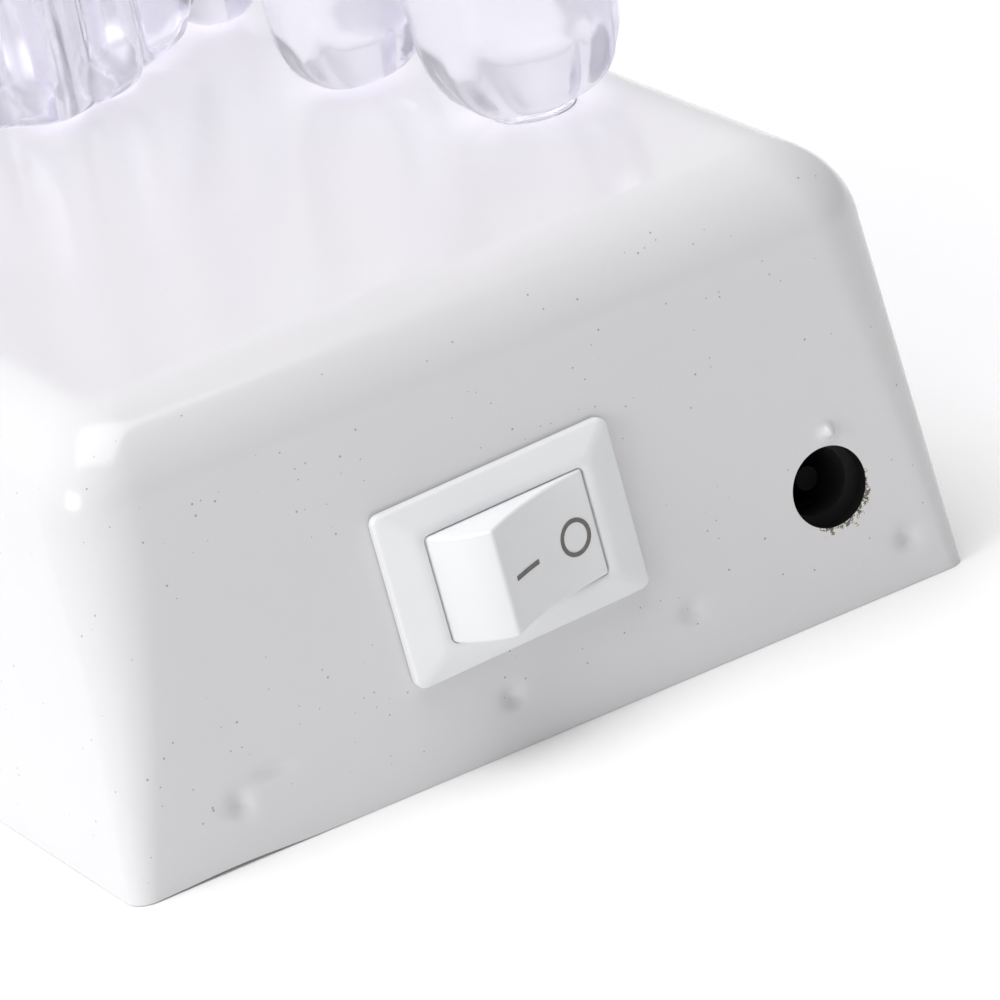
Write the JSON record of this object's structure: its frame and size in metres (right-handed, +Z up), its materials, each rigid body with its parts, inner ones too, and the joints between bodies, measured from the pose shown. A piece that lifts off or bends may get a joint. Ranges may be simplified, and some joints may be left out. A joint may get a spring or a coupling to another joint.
{
  "type": "angel table light",
  "caption": "Clear cast angel with tall wings standing on a white painted sheet base that holds the light board, a rocker switch and a power socket.",
  "frame": {"origin": "on the table, under the middle of the base's top", "axes": "+Z up, the angel faces -Y, +X towards the end wall with the switch and the power socket"},
  "size_m": [0.1615, 0.0763, 0.1601],
  "materials": {
    "base_paint": "thick glossy white paint over pressed sheet",
    "plate_steel": "zinc plated sheet",
    "pad_foam": "matt foam rubber",
    "zinc": "bright zinc plate",
    "pin_metal": "dark nickel plate",
    "switch_plastic": "fine moulded satin",
    "rocker_plastic": "fine moulded satin",
    "contact_brass": "stamped",
    "socket_plastic": "moulded",
    "board_mask": "solder mask",
    "emitter_lens": "phosphor dome",
    "wire_red": "extruded",
    "wire_black": "extruded",
    "clear_figure": "clear cast acrylic with a faint violet cast",
    "clear_pin": "clear rod"
  },
  "bodies": {
    "base": {"base_shell": "base_paint", "bottom_plate": "plate_steel", "bottom_pad": "pad_foam", "plate_posts": "plate_steel", "plate_screws": "zinc", "switch_housing": "switch_plastic", "common_terminal": "contact_brass", "load_terminal": "contact_brass", "socket_body": "socket_plastic", "socket_pin": "pin_metal", "socket_contact": "pin_metal", "socket_nut": "zinc", "socket_bracket": "plate_steel", "led_board": "board_mask", "led_emitters": "emitter_lens", "led_resistors": "socket_plastic", "board_standoffs": "contact_brass", "board_screws": "zinc", "supply_wire": "wire_red", "switched_wire": "wire_red", "return_wire": "wire_black", "angel_figure": "clear_figure", "left_wing": "clear_figure", "right_wing": "clear_figure", "wing_dowels": "clear_pin", "gown_retainer": "plate_steel", "wing_retainers": "plate_steel"},
    "rocker": {"switch_rocker": "rocker_plastic", "switch_plunger": "switch_plastic", "switch_spring": "zinc"},
    "lever": {"contact_lever": "contact_brass"}
  },
  "joints": [
    {"name": "rocker_tilt", "type": "hinge", "parent": "base", "child": "rocker", "pos_m": [0.07667, -0.002, 0.0158], "axis": [0.0523, 0.0384, -0.9979], "range_deg": [0, 43]},
    {"name": "lever_tilt", "type": "hinge", "parent": "base", "child": "lever", "pos_m": [0.06948, -0.002, 0.01543], "axis": [0.0523, 0.0384, -0.9979], "range_deg": [-16, 0]}
  ],
  "couplings": [
    {"joint": "lever_tilt", "follows": "rocker_tilt", "ratio": -0.37209}
  ]
}
